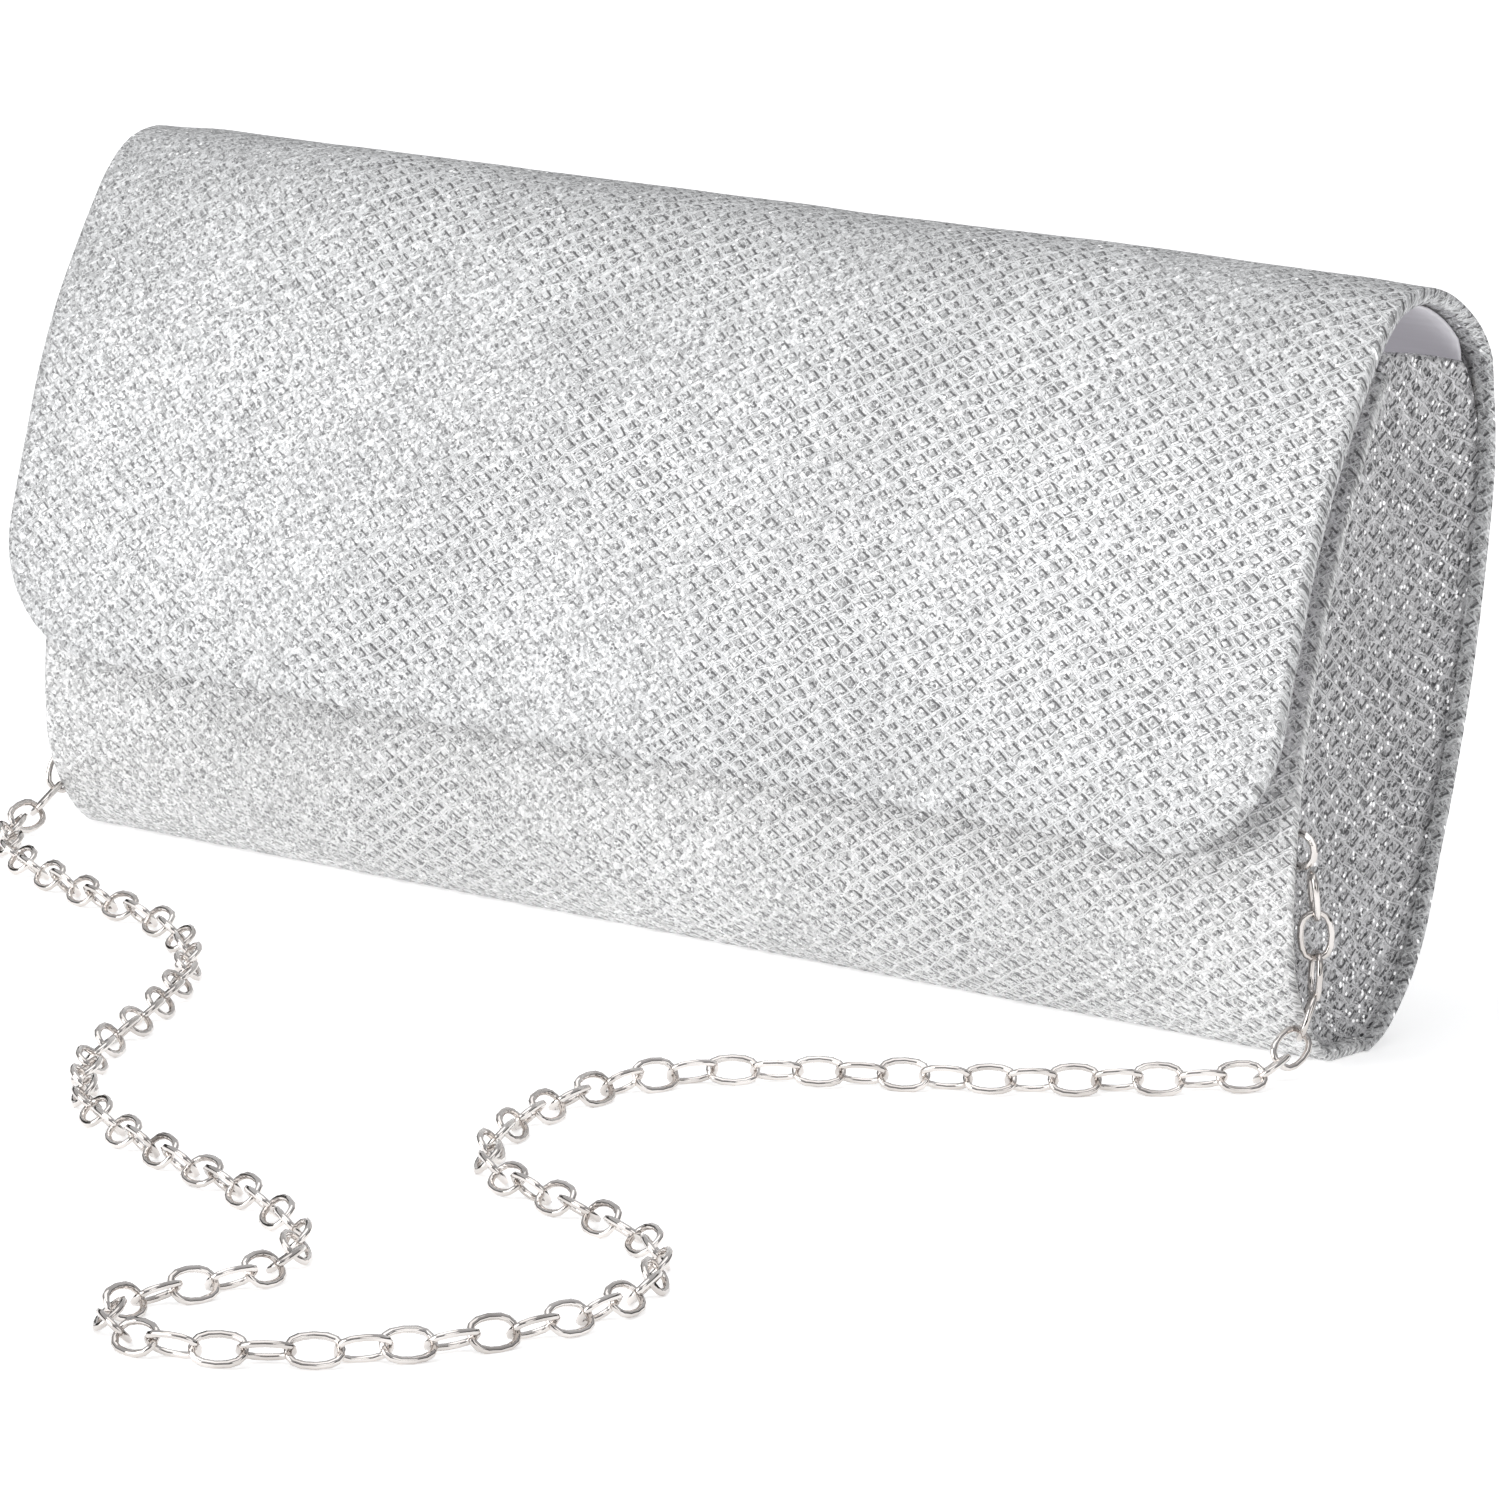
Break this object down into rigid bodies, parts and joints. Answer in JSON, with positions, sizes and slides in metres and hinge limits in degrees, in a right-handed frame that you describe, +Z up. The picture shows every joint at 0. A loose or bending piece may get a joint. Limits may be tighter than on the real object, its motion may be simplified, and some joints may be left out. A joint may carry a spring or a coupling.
{
  "type": "evening bag",
  "caption": "Slim silver evening bag with a fold-over flap, flat side gussets, a magnetic snap and a loose oval-link shoulder chain lying in front.",
  "frame": {"origin": "bottom centre of the bag on the surface it stands on, measured without the loose chain", "axes": "+X along the bag to its right end as seen from the front, +Y to the back, +Z up"},
  "size_m": [0.2711, 0.2763, 0.1141],
  "materials": {
    "silver_cloth": "satin",
    "stiffener": "matte",
    "satin": "satin",
    "nickel": "polished",
    "magnet": "satin"
  },
  "bodies": {
    "body": {"front_panel": "silver_cloth", "back_panel": "silver_cloth", "base_panel": "silver_cloth", "gusset_left": "silver_cloth", "gusset_right": "silver_cloth", "front_board": "stiffener", "back_board": "stiffener", "base_board": "stiffener", "front_lining": "satin", "back_lining": "satin", "base_lining": "satin", "gusset_lining_left": "satin", "gusset_lining_right": "satin", "slip_pocket": "satin", "snap_socket": "nickel", "snap_magnet": "magnet", "snap_socket_plate": "nickel", "chain_loop_left": "nickel", "chain_loop_right": "nickel", "chain": "nickel"},
    "flap": {"flap_cover": "silver_cloth", "flap_board": "stiffener", "flap_lining": "satin", "snap_stud": "nickel", "snap_stud_plate": "nickel"}
  },
  "joints": [
    {"name": "flap_hinge", "type": "hinge", "parent": "body", "child": "flap", "pos_m": [0, 0.0265, 0.0998], "axis": [-1, 0, 0], "range_deg": [0, 170]}
  ]
}
